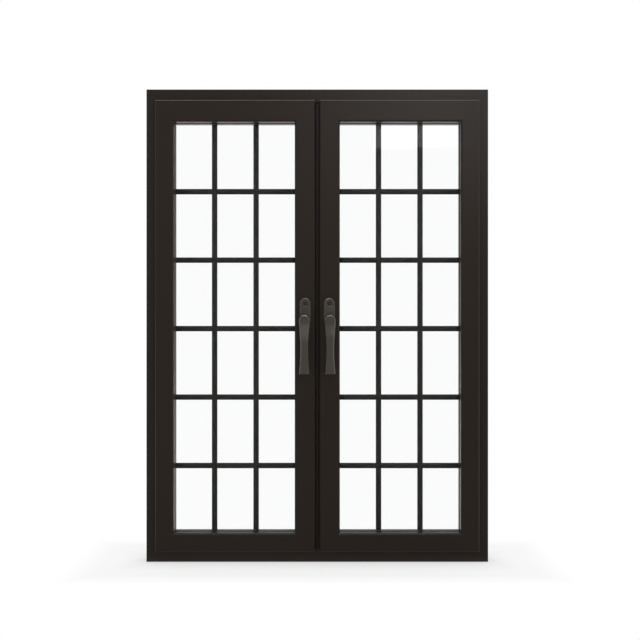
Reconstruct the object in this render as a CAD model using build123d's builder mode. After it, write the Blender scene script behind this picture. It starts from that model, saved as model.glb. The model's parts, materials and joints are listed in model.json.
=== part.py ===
from build123d import *
from math import acos, ceil, cos, hypot, pi, radians, sin, tan
import os

os.makedirs("parts", exist_ok=True)

# Axes, as seen from inside the room: +X to the right, +Y to the outside, +Z up.
# The origin is at the middle of the sill's underside, midway through the frame's depth.
# The two leaves mirror each other, so the left one is modelled and the right one mirrored.

# Frame, overall
frame_width = 1500
frame_height = 2074
frame_depth = 70

# Strips of the frame that show round the closed leaves
jamb_face = 40
head_face = 49
sill_face = 46

# Frame section
overlap = 8
rebate_air = 5
frame_step_depth = 44
frame_step_width = 17
step_gap = 4
frame_wall = 3
frame_bevel = 1.5

# Leaf members, from the leaf's edge to the glazed opening
hinge_stile_width = 81
meeting_stile_width = 88
top_rail_width = 95
bottom_rail_width = 83

# Leaf section
leaf_depth = 79
flange_thickness = 12
flange_gap = 3
leaf_wall = 2.5
outer_bevel = 4
opening_bevel = 6
front_chamber_depth = 26
inner_lip_depth = 42
rebate_width = 18

# Gap between the leaves
meeting_gap = 20
meeting_lip_depth = 25.5
meeting_step = 4

# Glass unit and its seats
pane_thickness = 4
cavity = 16
glass_bite = 14
gasket_thickness = 3
gasket_lip = 1.5
spacer_setback = 3
spacer_width = 12.5
setting_block_length = 100
setting_block_place = 0.25
bead_joint = 0.2

# Glazing bars
bar_width = 24
bar_thickness = 9
bar_bevel_width = 7.5
bar_bevel_depth = 3.5
bar_columns = 3
bar_rows = 6
bar_drop = 6

# Corner cleats
frame_cleat_width = 30
frame_cleat_reach = 90
leaf_cleat_width = 30
leaf_cleat_reach = 95

# Seals
seal_clearance = 0.3
leaf_seal_offset = 6.5
leaf_seal_width = 6.2
leaf_seal_end_gap = 26
frame_seal_offset = 8
frame_seal_width = 6

# Pivots: each leaf turns on two pins near its front outer edge
pivot_from_edge = 6
pivot_from_front = 6.5
pivot_pin_radius = 3
pivot_pin_length = 23
pivot_clearance = 0.05
pivot_arm_radius = 4.5
pivot_arm_thickness = 4.5
pivot_neck_radius = 4
pivot_neck_reach = 10
pivot_neck_rise = 7.5
pivot_base_length = 60
pivot_base_width = 20
pivot_base_inset = 3
pivot_notch_clearance = 0.8
leaf_swing = 100

# Lock gear, one set in each meeting stile
backset = 42
gear_module = 1.5
gear_teeth = 16
gear_addendum = 0.9
gear_dedendum = 1.1
pressure_angle = 20
gear_backlash = 0.08
gear_thickness = 8
gear_behind_front = 44
groove_depth = 10
groove_width = 16
faceplate_width = 20
faceplate_thickness = 2.5
rod_thickness = 3
rod_width = 11
rod_faceplate_gap = 0.5
rack_thickness = 5
rack_arm = 10
rack_end_gap = 2
rack_spare_teeth = 2
bolt_thickness = 6
bolt_length = 45
bolt_end_gap = 0.5
bolt_slot_clearance = 0.5
case_wall = 1.5
case_running_gap = 0.5
case_end_gap = 3
journal_radius = 7
running_clearance = 0.05
spindle_size = 7

# Keeps
keep_length = 110
keep_width = 22
keep_thickness = 3

# Lever handle
lever_height = 1060
backplate_width = 48.5
backplate_rise = 74
backplate_thickness = 10
backplate_bevel = 2.5
backplate_shift = 3
lever_bevel = 4
spindle_engagement = 14
handle_screw_radius = 2.5
handle_screw_rise = 50

# Sections of the lever, down from its pivot: drop, width, stand-off of its back, thickness
lever_stations = (
    (0, 48, 10.5, 22),
    (29, 44.5, 17, 19),
    (58, 40.5, 29, 14.5),
    (87, 36, 35.5, 12.5),
    (116, 33.5, 36.5, 12),
    (145, 35, 36.5, 12),
    (174, 38, 36.5, 12),
    (203, 41.5, 36, 12),
    (233, 45, 35.5, 12),
)

# Lock barrel and plug
lock_rise = 72
barrel_radius = 9
barrel_length = 16
barrel_recess = 1
recess_radius = 12
recess_depth = 2.9
plug_radius = 6
key_slot_length = 8
key_slot_width = 1.6
key_slot_depth = 8

# Astragal, the bar in the gap between the leaves
astragal_wall = 3
astragal_nose_width = 9
astragal_nose_front = 16
astragal_nose_depth = 13
astragal_end_gap = 0.5
astragal_rear_reach = 5
astragal_rear_depth = 8
astragal_seal_gap = 0.5
astragal_seal_foot = 2
astragal_seal_tongue = 2
astragal_seal_inset = 5

# Fixings and drainage
fixing_radius = 4
fixing_from_end = 200
fixing_count = 4
fixing_from_face = 25
drain_length = 30
drain_height = 6
drain_rise = 22


class Outline:
    """An upright rectangle, seen from the front, by the place of its four edges."""

    def __init__(self, left, right, bottom, top):
        self.left, self.right, self.bottom, self.top = left, right, bottom, top
        self.width, self.height = right - left, top - bottom
        self.centre = ((left + right) / 2, (bottom + top) / 2)

    def inset(self, by):
        """The rectangle that lies inside this one by the same distance all round."""
        return Outline(self.left + by, self.right - by, self.bottom + by, self.top - by)


def front_plane(y):
    """The upright plane at depth y, facing the room."""
    return Plane.XZ.offset(-y)


def ring(outer, inner, front, back, mode=Mode.ADD):
    """Add to or cut from the part being built what lies between two upright rectangles."""
    with BuildSketch(front_plane(back)) as face:
        with Locations(outer.centre):
            Rectangle(outer.width, outer.height)
        with Locations(inner.centre):
            Rectangle(inner.width, inner.height, mode=Mode.SUBTRACT)
    extrude(face.sketch, amount=back - front, mode=mode)


def slab(x, y, z, mode=Mode.ADD):
    """Add or cut a block that runs between the two given places along each axis."""
    with Locations(((x[0] + x[1]) / 2, (y[0] + y[1]) / 2, (z[0] + z[1]) / 2)):
        Box(abs(x[1] - x[0]), abs(y[1] - y[0]), abs(z[1] - z[0]), mode=mode)


def mitre_plane(outer, inner, side, end):
    """The cut through one corner of a frame, facing the upright member."""
    outer_x, outer_z = getattr(outer, side), getattr(outer, end)
    across = getattr(inner, side) - outer_x
    along = getattr(inner, end) - outer_z
    facing_x = -abs(along) if across > 0 else abs(along)
    facing_z = abs(across) if along > 0 else -abs(across)
    return Plane(origin=(outer_x, 0, outer_z), x_dir=(0, 1, 0), z_dir=(facing_x, 0, facing_z))


def write(name, piece):
    """Label one finished piece and write its file."""
    piece.label = name
    export_step(piece, f"parts/{name}.step")


def write_both(name, piece):
    """Write the left leaf's piece and its mirror image for the right leaf."""
    write(f"left_{name}", piece)
    write(f"right_{name}", mirror(piece, about=Plane.YZ))


# Depths of the faces that the pieces share
frame_front = -frame_depth / 2
frame_back = frame_depth / 2
frame_step = frame_front + frame_step_depth
flange_back = frame_front - flange_gap
leaf_front = flange_back - flange_thickness
leaf_back = leaf_front + leaf_depth
leaf_step = frame_step - step_gap
rebate_front = leaf_front + inner_lip_depth
inner_pane_front = rebate_front + gasket_thickness
cavity_front = inner_pane_front + pane_thickness
cavity_back = cavity_front + cavity
unit_back = cavity_back + pane_thickness
bead_front = unit_back + gasket_thickness

# Frame outlines
frame_outline = Outline(-frame_width / 2, frame_width / 2, 0, frame_height)
frame_rebate = Outline(
    frame_outline.left + jamb_face + overlap,
    frame_outline.right - jamb_face - overlap,
    sill_face + overlap,
    frame_height - head_face - overlap,
)
frame_inner = frame_rebate.inset(frame_step_width)

# Outlines of the left leaf, from its overlapping edge inwards
flange_width = overlap + rebate_air
leaf_edge = Outline(
    frame_outline.left + jamb_face, -meeting_gap / 2, sill_face, frame_height - head_face
)
meeting_face = leaf_edge.right - meeting_step
leaf_lip = Outline(
    leaf_edge.left + flange_width,
    leaf_edge.right,
    leaf_edge.bottom + flange_width,
    leaf_edge.top - flange_width,
)
leaf_body = Outline(leaf_lip.left, meeting_face, leaf_lip.bottom, leaf_lip.top)
leaf_rear = Outline(
    leaf_body.left + frame_step_width,
    meeting_face,
    leaf_body.bottom + frame_step_width,
    leaf_body.top - frame_step_width,
)
opening = Outline(
    leaf_edge.left + hinge_stile_width,
    leaf_edge.right - meeting_stile_width,
    leaf_edge.bottom + bottom_rail_width,
    leaf_edge.top - top_rail_width,
)
glass_rebate = opening.inset(-rebate_width)
unit = opening.inset(-glass_bite)

# Places of the pivots, the lock gear and the handle
pivot_x = leaf_edge.left + pivot_from_edge
pivot_y = leaf_front + pivot_from_front
gear_y = leaf_front + gear_behind_front
handle_x = meeting_face - backset
plate_x = handle_x + backplate_shift
plate_front = leaf_front - backplate_thickness
barrel_front = plate_front + barrel_recess
barrel_back = barrel_front + barrel_length
pitch_radius = gear_module * gear_teeth / 2
tooth_pitch = pi * gear_module
addendum = gear_addendum * gear_module
dedendum = gear_dedendum * gear_module
bolt_travel = pitch_radius * pi / 2
travel_teeth = ceil(bolt_travel / tooth_pitch)
groove_bottom = meeting_face - groove_depth
faceplate_back = meeting_face - faceplate_thickness
rod_face = faceplate_back - rod_faceplate_gap
rod_back = rod_face - rod_thickness
bolt_back = rod_face - bolt_thickness
bolt_x = (rod_face + bolt_back) / 2
gear_floor = handle_x - pitch_radius - dedendum - rack_thickness

# Lengths of the racks each side of the handle's height
rack_short = rack_spare_teeth * tooth_pitch
rack_long = (travel_teeth + rack_spare_teeth) * tooth_pitch
arm_low = lever_height + rack_long + rack_end_gap
case_top = arm_low + rack_arm + bolt_travel + case_end_gap
case_bottom = lever_height - rack_short - rack_arm - bolt_travel - case_end_gap
case_back = gear_floor - case_running_gap - case_wall

# Frame: one hollow section all round, cut on the mitres into head, sill and jambs
with BuildPart() as frame_section:
    ring(frame_outline, frame_rebate, frame_front, frame_step)
    ring(frame_outline, frame_inner, frame_step, frame_back)
    chamfer(frame_section.faces().sort_by(Axis.Y)[0].edges(), length=frame_bevel)
    ring(
        frame_outline.inset(frame_wall),
        frame_rebate.inset(-frame_wall),
        frame_front + frame_wall,
        frame_step - frame_wall,
        Mode.SUBTRACT,
    )
    ring(
        frame_outline.inset(frame_wall),
        frame_inner.inset(-frame_wall),
        frame_step,
        frame_back - frame_wall,
        Mode.SUBTRACT,
    )
    # Slots that the shoot bolts enter, in the head and the sill
    slot_x = bolt_thickness / 2 + bolt_slot_clearance
    slot_y = rod_width / 2 + bolt_slot_clearance
    for side_x in (bolt_x, -bolt_x):
        for wall_z in (frame_rebate.top, frame_rebate.bottom):
            slab(
                (side_x - slot_x, side_x + slot_x),
                (gear_y - slot_y, gear_y + slot_y),
                (wall_z - frame_wall, wall_z + frame_wall),
                Mode.SUBTRACT,
            )
    # Holes through the jambs for the screws that fix the frame in its wall
    fixing_y = frame_front + fixing_from_face
    fixing_step = (frame_height - 2 * fixing_from_end) / (fixing_count - 1)
    for number in range(fixing_count):
        with Locations((0, fixing_y, fixing_from_end + number * fixing_step)):
            Cylinder(fixing_radius, frame_width, rotation=(0, 90, 0), mode=Mode.SUBTRACT)
    # Drain slots low on the outside of the sill
    for drain_x in (-frame_width / 4, 0, frame_width / 4):
        slab(
            (drain_x - drain_length / 2, drain_x + drain_length / 2),
            (frame_back - frame_wall, frame_back),
            (drain_rise, drain_rise + drain_height),
            Mode.SUBTRACT,
        )

frame_mitres = {
    (side, end): mitre_plane(frame_outline, frame_rebate, side, end)
    for side in ("left", "right")
    for end in ("bottom", "top")
}

with BuildPart() as head:
    add(frame_section.part)
    split(bisect_by=frame_mitres["left", "top"], keep=Keep.BOTTOM)
    split(bisect_by=frame_mitres["right", "top"], keep=Keep.BOTTOM)

with BuildPart() as sill:
    add(frame_section.part)
    split(bisect_by=frame_mitres["left", "bottom"], keep=Keep.BOTTOM)
    split(bisect_by=frame_mitres["right", "bottom"], keep=Keep.BOTTOM)

with BuildPart() as left_jamb:
    add(frame_section.part)
    split(bisect_by=Plane.YZ, keep=Keep.BOTTOM)
    split(bisect_by=frame_mitres["left", "top"], keep=Keep.TOP)
    split(bisect_by=frame_mitres["left", "bottom"], keep=Keep.TOP)

with BuildPart() as right_jamb:
    add(frame_section.part)
    split(bisect_by=Plane.YZ, keep=Keep.TOP)
    split(bisect_by=frame_mitres["right", "top"], keep=Keep.TOP)
    split(bisect_by=frame_mitres["right", "bottom"], keep=Keep.TOP)

write("head", head.part)
write("sill", sill.part)
write("left_jamb", left_jamb.part)
write("right_jamb", right_jamb.part)


def corner_cleats(chamber, width, reach, back):
    """Draw the four angle pieces that fill a frame's chamber at its corners."""
    with BuildSketch(front_plane(back)) as angles:
        for x, align_x in ((chamber.left, Align.MIN), (chamber.right, Align.MAX)):
            for z, align_z in ((chamber.bottom, Align.MIN), (chamber.top, Align.MAX)):
                with Locations((x, z)):
                    Rectangle(reach, width, align=(align_x, align_z))
                    Rectangle(width, reach, align=(align_x, align_z))
    return angles.sketch


with BuildPart() as frame_corner_cleats:
    cleat_front = frame_front + frame_wall
    cleat_back = frame_step - frame_wall
    chamber = frame_outline.inset(frame_wall)
    angles = corner_cleats(chamber, frame_cleat_width, frame_cleat_reach, cleat_back)
    extrude(angles, amount=cleat_back - cleat_front)

write("frame_corner_cleats", frame_corner_cleats.part)

# Centre seal: a strip on the frame's step that the leaves close against
with BuildPart() as frame_seal:
    ring(
        frame_rebate.inset(frame_seal_offset),
        frame_rebate.inset(frame_seal_offset + frame_seal_width),
        leaf_step + seal_clearance,
        frame_step,
    )

write("frame_seal", frame_seal.part)


def keep_plate(low):
    """A round-ended plate with a slot for each leaf's bolt."""
    with BuildPart() as plate:
        with BuildSketch(Plane.XY.offset(low)):
            with Locations((0, gear_y)):
                SlotOverall(keep_length, keep_width)
            with Locations((bolt_x, gear_y), (-bolt_x, gear_y)):
                Rectangle(2 * slot_x, 2 * slot_y, mode=Mode.SUBTRACT)
        extrude(amount=keep_thickness)
    return plate.part


write("head_keep", keep_plate(frame_rebate.top - keep_thickness))
write("sill_keep", keep_plate(frame_rebate.bottom))

# Pivots: an arm screwed in the rebate carries a pin under or over the leaf's front edge
neck_point = (pivot_x + pivot_neck_reach, pivot_y + pivot_neck_rise)
swung_angle = radians(leaf_swing)
swung_point = (
    pivot_x + pivot_neck_reach * cos(swung_angle) - pivot_neck_rise * sin(swung_angle),
    pivot_y + pivot_neck_reach * sin(swung_angle) + pivot_neck_rise * cos(swung_angle),
)


def pivot_arm(low):
    """Draw the arm from the pin's eye to the plate in the rebate, seen from above."""
    base_left = frame_rebate.left + pivot_base_inset
    with BuildSketch(Plane.XY.offset(low)) as arm:
        with Locations((pivot_x, pivot_y)):
            Circle(pivot_arm_radius)
        with Locations(neck_point):
            Circle(pivot_neck_radius)
        make_hull(arm.edges())
        with Locations((base_left, frame_front + seal_clearance)):
            Rectangle(pivot_base_length, pivot_base_width, align=(Align.MIN, Align.MIN))
    return arm.sketch


def pivot(low, pin_from, pin_to):
    """An arm and its pin, forged as one piece, with the mirror image for the other leaf."""
    with BuildPart() as piece:
        extrude(pivot_arm(low), amount=pivot_arm_thickness)
        with BuildSketch(Plane.XY.offset(pin_from)) as pin:
            with Locations((pivot_x, pivot_y)):
                Circle(pivot_pin_radius)
        extrude(pin.sketch, amount=pin_to - pin_from)
        mirror(about=Plane.YZ)
    return piece.part


bottom_arm_top = frame_rebate.bottom + pivot_arm_thickness
top_arm_bottom = frame_rebate.top - pivot_arm_thickness
bottom_pin_top = bottom_arm_top + pivot_pin_length
top_pin_bottom = top_arm_bottom - pivot_pin_length
write("bottom_pivots", pivot(frame_rebate.bottom, frame_rebate.bottom, bottom_pin_top))
write("top_pivots", pivot(top_arm_bottom, top_pin_bottom, frame_rebate.top))

# Leaf: the hollow frame of the left leaf, before it is cut on the mitres
front_chamber_back = leaf_front + opening_bevel + front_chamber_depth
middle_chamber_front = front_chamber_back + leaf_wall
with BuildPart() as leaf_section:
    lip_back = leaf_front + meeting_lip_depth
    ring(leaf_edge, opening, leaf_front, flange_back)
    ring(leaf_lip, opening, flange_back, lip_back)
    ring(leaf_body, opening, lip_back, rebate_front)
    ring(leaf_body, glass_rebate, rebate_front, leaf_step)
    ring(leaf_rear, glass_rebate, leaf_step, leaf_back)
    front_edges = leaf_section.faces().sort_by(Axis.Y)[0].edges()
    middle_of_leaf = Vector(leaf_edge.centre[0], leaf_front, leaf_edge.centre[1])
    reach_x = (leaf_edge.width - hinge_stile_width) / 2
    reach_z = (leaf_edge.height - bottom_rail_width) / 2
    outer_edges = front_edges.filter_by(
        lambda edge: abs((edge @ 0.5 - middle_of_leaf).X) > reach_x
        or abs((edge @ 0.5 - middle_of_leaf).Z) > reach_z
    )
    opening_edges = front_edges - outer_edges
    chamfer(outer_edges, length=outer_bevel)
    chamfer(opening_edges, length=opening_bevel)

    # Chambers of the hollow section: front, middle and rear
    chamber_right = meeting_face - leaf_wall
    front_chamber = Outline(
        leaf_body.left + leaf_wall,
        chamber_right,
        leaf_body.bottom + leaf_wall,
        leaf_body.top - leaf_wall,
    )
    ring(
        front_chamber,
        opening.inset(-leaf_wall),
        leaf_front + opening_bevel,
        front_chamber_back,
        Mode.SUBTRACT,
    )
    middle_chamber = Outline(
        front_chamber.left, groove_bottom - leaf_wall, front_chamber.bottom, front_chamber.top
    )
    ring(
        middle_chamber,
        glass_rebate.inset(-leaf_wall),
        middle_chamber_front,
        leaf_step - leaf_wall,
        Mode.SUBTRACT,
    )
    ring(
        leaf_rear.inset(leaf_wall),
        glass_rebate.inset(-leaf_wall),
        leaf_step + leaf_wall,
        leaf_back - leaf_wall,
        Mode.SUBTRACT,
    )

    # Groove for the rods in the meeting edge, the faceplate's seat, and the gearbox's mortise
    slab(
        (groove_bottom, meeting_face),
        (gear_y - groove_width / 2, gear_y + groove_width / 2),
        (leaf_body.bottom, leaf_body.top),
        Mode.SUBTRACT,
    )
    slab(
        (faceplate_back, meeting_face),
        (gear_y - faceplate_width / 2, gear_y + faceplate_width / 2),
        (leaf_body.bottom, leaf_body.top),
        Mode.SUBTRACT,
    )
    slab(
        (groove_bottom - 2 * leaf_wall, groove_bottom),
        (gear_y - groove_width / 2, gear_y + groove_width / 2),
        (case_bottom - case_wall - case_running_gap, case_top + case_wall + case_running_gap),
        Mode.SUBTRACT,
    )

    # Holes for the spindle and the lock barrel, from the front to the chambers
    with Locations((handle_x, (leaf_front + gear_y) / 2, lever_height)):
        Cylinder(journal_radius, gear_y - leaf_front, rotation=(90, 0, 0), mode=Mode.SUBTRACT)
    with Locations((plate_x, leaf_front, lever_height + lock_rise)):
        bore_length = 2 * (barrel_back - leaf_front)
        Cylinder(barrel_radius, bore_length, rotation=(90, 0, 0), mode=Mode.SUBTRACT)

    # Room for the pivot arms to swing in the edge, and the bores for their pins
    for notch_low, notch_high, bore_to in (
        (
            frame_rebate.bottom - pivot_notch_clearance,
            leaf_body.bottom,
            leaf_body.bottom + pivot_pin_length,
        ),
        (
            leaf_body.top,
            frame_rebate.top + pivot_notch_clearance,
            leaf_body.top - pivot_pin_length,
        ),
    ):
        with BuildSketch(Plane.XY.offset(notch_low)) as notch:
            with Locations((pivot_x, pivot_y)):
                Circle(pivot_arm_radius + pivot_notch_clearance)
            with Locations(neck_point, swung_point):
                Circle(pivot_neck_radius + pivot_notch_clearance)
            make_hull(notch.edges())
        extrude(notch.sketch, amount=notch_high - notch_low, mode=Mode.SUBTRACT)
        bore_from = notch_high if bore_to > notch_high else notch_low
        with Locations((pivot_x, pivot_y, (bore_from + bore_to) / 2)):
            Cylinder(
                pivot_pin_radius + pivot_clearance, abs(bore_to - bore_from), mode=Mode.SUBTRACT
            )

leaf_mitres = {
    (side, end): mitre_plane(leaf_edge, opening, side, end)
    for side in ("left", "right")
    for end in ("bottom", "top")
}
leaf_middle = Plane.YZ.offset(leaf_edge.centre[0])

with BuildPart() as top_rail:
    add(leaf_section.part)
    split(bisect_by=leaf_mitres["left", "top"], keep=Keep.BOTTOM)
    split(bisect_by=leaf_mitres["right", "top"], keep=Keep.BOTTOM)

with BuildPart() as bottom_rail:
    add(leaf_section.part)
    split(bisect_by=leaf_mitres["left", "bottom"], keep=Keep.BOTTOM)
    split(bisect_by=leaf_mitres["right", "bottom"], keep=Keep.BOTTOM)

with BuildPart() as hinge_stile:
    add(leaf_section.part)
    split(bisect_by=leaf_middle, keep=Keep.BOTTOM)
    split(bisect_by=leaf_mitres["left", "top"], keep=Keep.TOP)
    split(bisect_by=leaf_mitres["left", "bottom"], keep=Keep.TOP)

with BuildPart() as meeting_stile:
    add(leaf_section.part)
    split(bisect_by=leaf_middle, keep=Keep.TOP)
    split(bisect_by=leaf_mitres["right", "top"], keep=Keep.TOP)
    split(bisect_by=leaf_mitres["right", "bottom"], keep=Keep.TOP)

write_both("top_rail", top_rail.part)
write_both("bottom_rail", bottom_rail.part)
write_both("hinge_stile", hinge_stile.part)
write_both("meeting_stile", meeting_stile.part)

with BuildPart() as corner_cleats_of_leaf:
    angles = corner_cleats(front_chamber, leaf_cleat_width, leaf_cleat_reach, front_chamber_back)
    extrude(angles, amount=front_chamber_depth)

write_both("corner_cleats", corner_cleats_of_leaf.part)

# Seal behind the overlap, on three sides, left out at the corners where the arms swing
with BuildPart() as leaf_seal:
    seal_outer = leaf_edge.inset(leaf_seal_offset)
    seal_front = frame_front - seal_clearance
    strip_y = (flange_back, seal_front)
    run_start = leaf_edge.left + leaf_seal_end_gap
    run_z = (leaf_lip.bottom + leaf_wall, leaf_lip.top - leaf_wall)
    slab((seal_outer.left, seal_outer.left + leaf_seal_width), strip_y, run_z)
    slab(
        (run_start, leaf_edge.right - outer_bevel),
        strip_y,
        (seal_outer.bottom, seal_outer.bottom + leaf_seal_width),
    )
    slab(
        (run_start, leaf_edge.right - outer_bevel),
        strip_y,
        (seal_outer.top - leaf_seal_width, seal_outer.top),
    )

write_both("leaf_seal", leaf_seal.part)


# Glass unit: two panes held apart by a hollow spacer, with the bars in the cavity
def pane(front):
    """One sheet of glass as large as the unit."""
    with BuildPart() as sheet:
        with BuildSketch(front_plane(front + pane_thickness)) as face:
            with Locations(unit.centre):
                Rectangle(unit.width, unit.height)
        extrude(face.sketch, amount=pane_thickness)
    return sheet.part


write_both("inner_pane", pane(inner_pane_front))
write_both("outer_pane", pane(cavity_back))

spacer_outer = unit.inset(spacer_setback)
spacer_inner = spacer_outer.inset(spacer_width)
with BuildPart() as spacer_frame:
    ring(spacer_outer, spacer_inner, cavity_front, cavity_back)

write_both("spacer_frame", spacer_frame.part)

daylight = opening.inset(gasket_lip)
pane_pitch_x = (daylight.width + bar_width) / bar_columns
pane_pitch_z = (daylight.height + bar_width) / bar_rows
with BuildPart() as glazing_bars:
    bars_back = (cavity_front + cavity_back + bar_thickness) / 2
    with BuildSketch(front_plane(bars_back)) as bars:
        with Locations(spacer_inner.centre):
            with GridLocations(pane_pitch_x, 0, bar_columns - 1, 1):
                Rectangle(bar_width, spacer_inner.height)
        with Locations((spacer_inner.centre[0], spacer_inner.centre[1] - bar_drop)):
            with GridLocations(0, pane_pitch_z, 1, bar_rows - 1):
                Rectangle(spacer_inner.width, bar_width)
    extrude(bars.sketch, amount=bar_thickness)
    for place in (0, -1):
        flat = glazing_bars.faces().sort_by(Axis.Y)[place]
        chamfer(flat.edges(), length=bar_bevel_width, length2=bar_bevel_depth, reference=flat)

write_both("glazing_bars", glazing_bars.part)

with BuildPart() as inner_gasket:
    ring(unit, daylight, rebate_front, inner_pane_front)

with BuildPart() as outer_gasket:
    ring(unit, daylight, unit_back, bead_front)

write_both("inner_gasket", inner_gasket.part)
write_both("outer_gasket", outer_gasket.part)

# Glazing beads on the outside, four strips with a hairline joint at each mitre
with BuildPart() as glazing_beads:
    ring(glass_rebate, opening, bead_front, leaf_back)
    for side in ("left", "right"):
        for end in ("bottom", "top"):
            with BuildSketch(mitre_plane(glass_rebate, opening, side, end)) as joint:
                Rectangle(2 * leaf_depth, 4 * rebate_width)
            extrude(joint.sketch, amount=bead_joint / 2, both=True, mode=Mode.SUBTRACT)

write_both("glazing_beads", glazing_beads.part)

with BuildPart() as setting_blocks:
    for share in (setting_block_place, 1 - setting_block_place):
        block_x = unit.left + share * unit.width
        slab(
            (block_x - setting_block_length / 2, block_x + setting_block_length / 2),
            (inner_pane_front, unit_back),
            (glass_rebate.bottom, unit.bottom),
        )

write_both("setting_blocks", setting_blocks.part)

# Handle: a round-ended plate that carries the lock, and a long lever that hangs down
with BuildPart() as backplate:
    with BuildSketch(front_plane(leaf_front)) as plate:
        with Locations((plate_x, lever_height + backplate_rise / 2)):
            SlotCenterToCenter(backplate_rise, backplate_width, rotation=90)
    extrude(plate.sketch, amount=backplate_thickness)
    chamfer(backplate.faces().sort_by(Axis.Y)[0].edges(), length=backplate_bevel)
    with Locations(front_plane(plate_front)):
        with Locations((handle_x, lever_height)):
            Hole(journal_radius)
        with Locations((plate_x, lever_height + lock_rise)):
            Hole(barrel_radius)
        with Locations((plate_x, lever_height + handle_screw_rise)):
            CounterSinkHole(handle_screw_radius, 2 * handle_screw_radius)
    with BuildSketch(front_plane(plate_front)) as recess:
        with Locations((plate_x, lever_height + lock_rise)):
            Circle(recess_radius)
    extrude(recess.sketch, amount=-recess_depth, taper=45, mode=Mode.SUBTRACT)

write_both("backplate", backplate.part)

with BuildPart() as lock_barrel:
    with BuildSketch(front_plane(barrel_back)) as barrel:
        with Locations((plate_x, lever_height + lock_rise)):
            Circle(barrel_radius)
            Circle(plug_radius + running_clearance, mode=Mode.SUBTRACT)
    extrude(barrel.sketch, amount=barrel_length)

with BuildPart() as lock_plug:
    with BuildSketch(front_plane(barrel_back)) as plug:
        with Locations((plate_x, lever_height + lock_rise)):
            Circle(plug_radius)
    extrude(plug.sketch, amount=barrel_length)
    with BuildSketch(front_plane(barrel_front)) as key_slot:
        with Locations((plate_x, lever_height + lock_rise)):
            SlotOverall(key_slot_length, key_slot_width, rotation=90)
    extrude(key_slot.sketch, amount=-key_slot_depth, mode=Mode.SUBTRACT)

write_both("lock_barrel", lock_barrel.part)
write_both("lock_plug", lock_plug.part)

# Lever: a round hub over the spindle, drawn out into a blade that hangs clear of the leaf
hub_width, hub_stand_off, hub_thickness = lever_stations[0][1:]
hub_back = leaf_front - hub_stand_off
with BuildPart() as lever:
    with BuildSketch(front_plane(hub_back)) as hub:
        with Locations((handle_x, lever_height)):
            Circle(hub_width / 2)
    extrude(hub.sketch, amount=hub_thickness)
    chamfer(lever.faces().sort_by(Axis.Y)[0].edges(), length=lever_bevel)
    split(bisect_by=Plane.XY.offset(lever_height), keep=Keep.TOP)
    with BuildPart() as blade:
        for drop, width, stand_off, thickness in lever_stations:
            left, right = handle_x - width / 2, handle_x + width / 2
            back = leaf_front - stand_off
            front = back - thickness
            with BuildSketch(Plane.XY.offset(lever_height - drop)):
                with BuildLine():
                    Polyline(
                        (left, back),
                        (left, front + lever_bevel),
                        (left + lever_bevel, front),
                        (right - lever_bevel, front),
                        (right, front + lever_bevel),
                        (right, back),
                        close=True,
                    )
                make_face()
        loft()
    split(bisect_by=front_plane(hub_back), keep=Keep.TOP)
    with BuildSketch(front_plane(hub_back)) as socket:
        with Locations((handle_x, lever_height)):
            Rectangle(spindle_size, spindle_size)
    extrude(socket.sketch, amount=spindle_engagement, mode=Mode.SUBTRACT)

write_both("lever", lever.part)

with BuildPart() as spindle:
    with BuildSketch(front_plane(gear_y + gear_thickness)) as square:
        with Locations((handle_x, lever_height)):
            Rectangle(spindle_size, spindle_size)
    extrude(square.sketch, amount=gear_y + gear_thickness - hub_back + spindle_engagement)

write_both("spindle", spindle.part)

# Lock gear: the pinion on the spindle drives the two racks opposite ways
base_radius = pitch_radius * cos(radians(pressure_angle))
tip_radius = pitch_radius + addendum
root_radius = pitch_radius - dedendum


def involute_of(angle):
    """How far the flank has turned from its start, at a given pressure angle."""
    return tan(angle) - angle


def flank_point(radius, tooth_angle, hand):
    """The point of a tooth's left or right flank at a radius, radial below the base circle."""
    half_tooth = pi / (2 * gear_teeth) - gear_backlash / pitch_radius
    contact_angle = acos(base_radius / max(radius, base_radius))
    flank_turn = involute_of(radians(pressure_angle)) - involute_of(contact_angle)
    angle = tooth_angle + hand * (half_tooth + flank_turn)
    return (handle_x + radius * cos(angle), lever_height + radius * sin(angle))


with BuildPart() as pinion:
    with BuildSketch(front_plane(gear_y + gear_thickness / 2)) as teeth:
        with BuildLine():
            flank_radii = (root_radius, base_radius, pitch_radius, tip_radius)
            teeth_edge = []
            for number in range(gear_teeth):
                tooth_angle = 2 * pi * number / gear_teeth
                teeth_edge += [flank_point(radius, tooth_angle, -1) for radius in flank_radii]
                teeth_edge += [flank_point(radius, tooth_angle, 1) for radius in flank_radii[::-1]]
            Polyline(*teeth_edge, close=True)
        make_face()
    extrude(teeth.sketch, amount=gear_thickness)
    with Locations((handle_x, gear_y, lever_height)):
        Cylinder(journal_radius, rod_width + 2 * case_wall, rotation=(90, 0, 0))
    with BuildSketch(front_plane(gear_y + gear_thickness)) as square_hole:
        with Locations((handle_x, lever_height)):
            Rectangle(spindle_size, spindle_size)
    extrude(square_hole.sketch, amount=2 * gear_thickness, mode=Mode.SUBTRACT)

write_both("pinion", pinion.part)


def rack_points(hand, first, last):
    """The toothed edge of a rack, from its lowest tooth up, on one side of the pinion."""
    pitch_line = handle_x + hand * pitch_radius
    flank_half = tooth_pitch / 4 - gear_backlash
    slope = tan(radians(pressure_angle))
    points = []
    for number in range(first, last + 1):
        tooth_z = lever_height + (number + 0.5) * tooth_pitch
        for place, half in (
            (dedendum, -flank_half - dedendum * slope),
            (-addendum, -flank_half + addendum * slope),
            (-addendum, flank_half - addendum * slope),
            (dedendum, flank_half + dedendum * slope),
        ):
            points.append((pitch_line + hand * place, tooth_z + half))
    return points


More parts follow.
